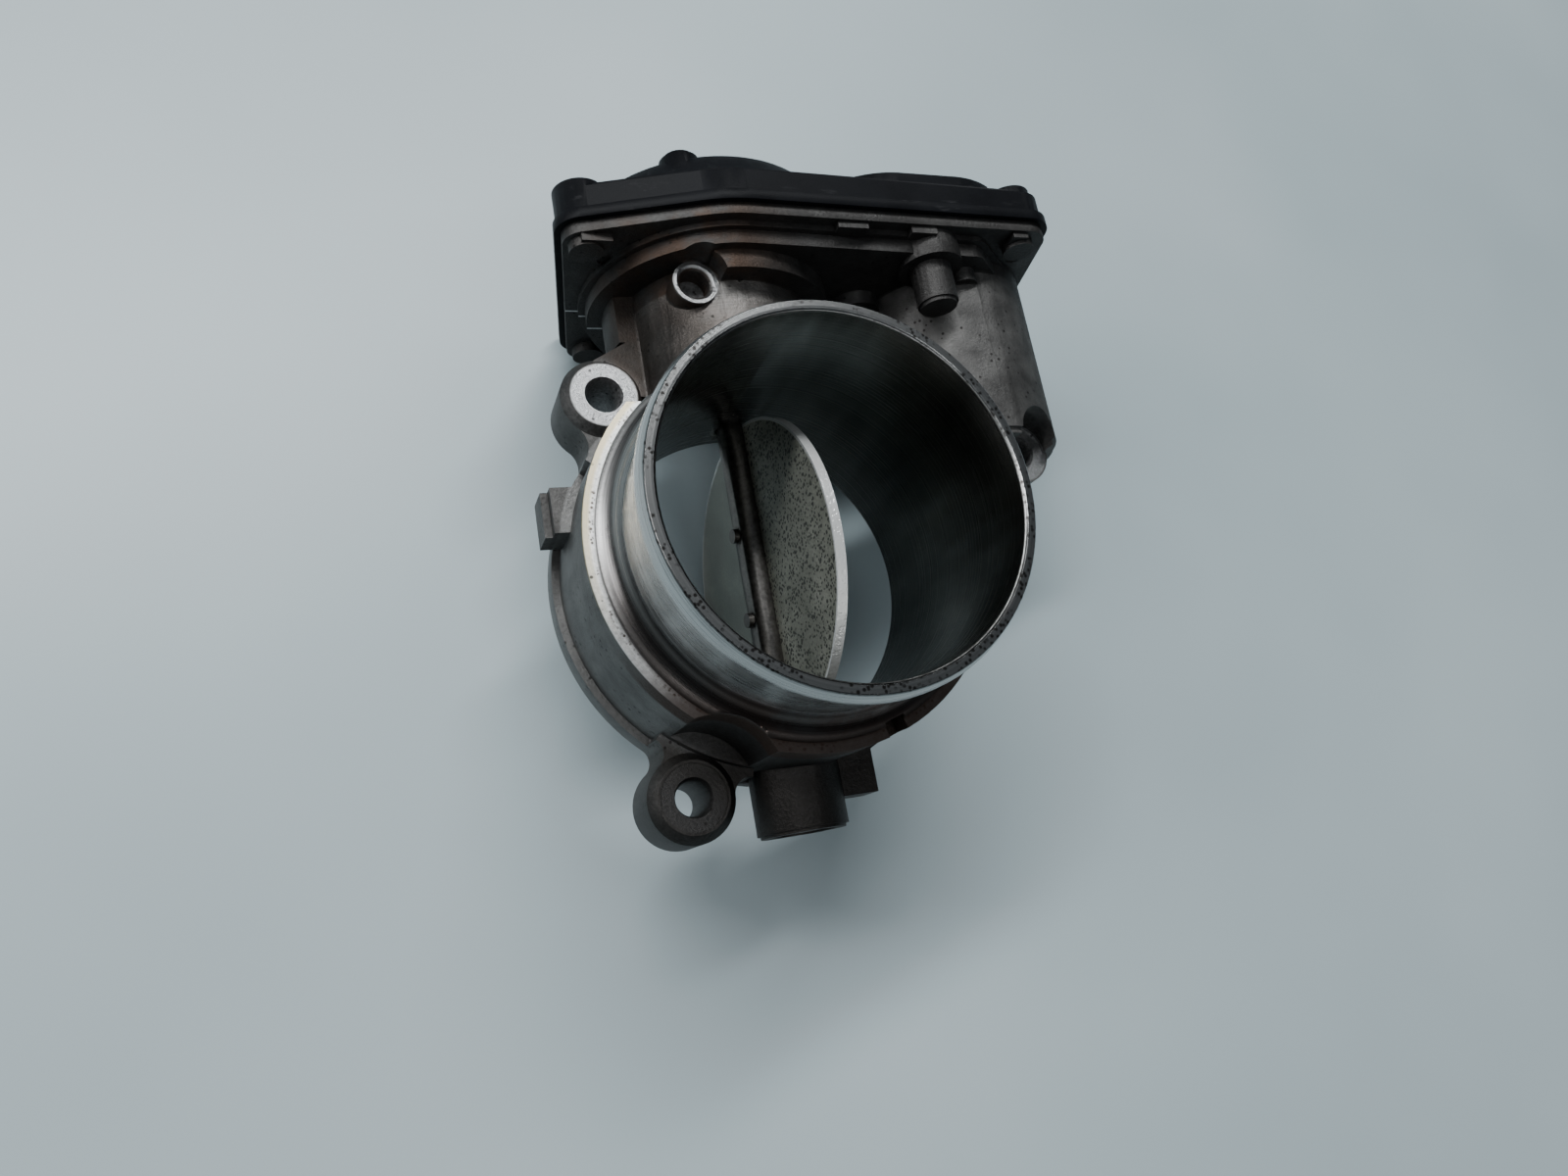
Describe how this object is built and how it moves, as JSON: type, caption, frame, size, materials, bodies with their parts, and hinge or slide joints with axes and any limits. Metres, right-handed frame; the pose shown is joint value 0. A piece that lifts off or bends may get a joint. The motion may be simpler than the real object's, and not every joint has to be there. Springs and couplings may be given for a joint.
{
  "type": "electric throttle body",
  "caption": "Cast aluminium electric throttle body with a hose neck, bolt ears, a butterfly plate on a cross shaft and a plastic-covered gear drive beside a small motor.",
  "frame": {"origin": "bore centre on the flat mounting face under the bolt ears", "axes": "+Z along the air bore towards the hose neck mouth, +Y along the throttle shaft towards the gear cover, +X towards the motor"},
  "size_m": [0.1229, 0.148, 0.0821],
  "materials": {
    "cast_aluminium": "cast, lightly bead-blasted, machined bright on the neck, collar and bore",
    "black_plastic": "glass-filled moulding, satin",
    "rubber": "matt",
    "steel": "bright",
    "dark_steel": "dark, oiled",
    "plate_aluminium": "dull grey with dark speckles, bright turned rim",
    "spring_steel": "drawn wire",
    "brass": "bright",
    "bronze": "sintered",
    "copper": "enamelled copper",
    "natural_plastic": "natural moulding",
    "gear_plastic": "glass-filled moulding",
    "magnet": "sintered ferrite",
    "carbon": "pressed carbon",
    "board_green": "lacquered board"
  },
  "bodies": {
    "housing": {"throttle_housing": "cast_aluminium", "gear_cover": "black_plastic", "cover_seal": "rubber", "cover_screws": "steel", "connector_pins": "brass", "drive_bearing_shell": "steel", "drive_bearing_needles": "steel", "end_bearing_shell": "steel", "end_bearing_needles": "steel", "shaft_seal": "rubber", "end_plug": "steel", "return_spring": "spring_steel", "spring_bush": "natural_plastic", "idler_axle": "steel", "motor_can": "steel", "motor_rear_bush": "bronze", "motor_washer": "spring_steel", "motor_magnets": "magnet", "brush_holder": "natural_plastic", "motor_brushes": "carbon", "motor_end_plate": "steel", "motor_front_bush": "bronze", "motor_screws": "steel", "motor_terminals": "brass", "cover_contacts": "brass", "sensor_board": "board_green", "sensor_chip": "black_plastic"},
    "throttle": {"throttle_shaft": "dark_steel", "throttle_plate": "plate_aluminium", "plate_screws": "dark_steel", "sector_gear": "gear_plastic", "gear_insert": "steel", "sensor_magnet": "magnet"},
    "idler": {"idler_gear": "natural_plastic"},
    "rotor": {"motor_rotor": "steel", "motor_windings": "copper", "commutator": "copper", "motor_pinion": "brass"}
  },
  "joints": [
    {"name": "throttle_turn", "type": "hinge", "parent": "housing", "child": "throttle", "pos_m": [0, 0, 0.007], "axis": [0, 1, 0], "range_deg": [0, 80.7], "stiffness_Nm_per_rad": 0.12, "springref_deg": -68.75, "deforming": ["return_spring"]},
    {"name": "idler_spin", "type": "hinge", "parent": "housing", "child": "idler", "pos_m": [0.03151, 0.068, 0.01256], "axis": [0, 1, 0], "range_deg": [-245, 5]},
    {"name": "motor_spin", "type": "hinge", "parent": "housing", "child": "rotor", "pos_m": [0.05556, 0.05, 0.00647], "axis": [0, 1, 0], "range_deg": [-15, 840]}
  ],
  "couplings": [
    {"joint": "idler_spin", "follows": "throttle_turn", "ratio": -3},
    {"joint": "motor_spin", "follows": "throttle_turn", "ratio": 10.286}
  ]
}
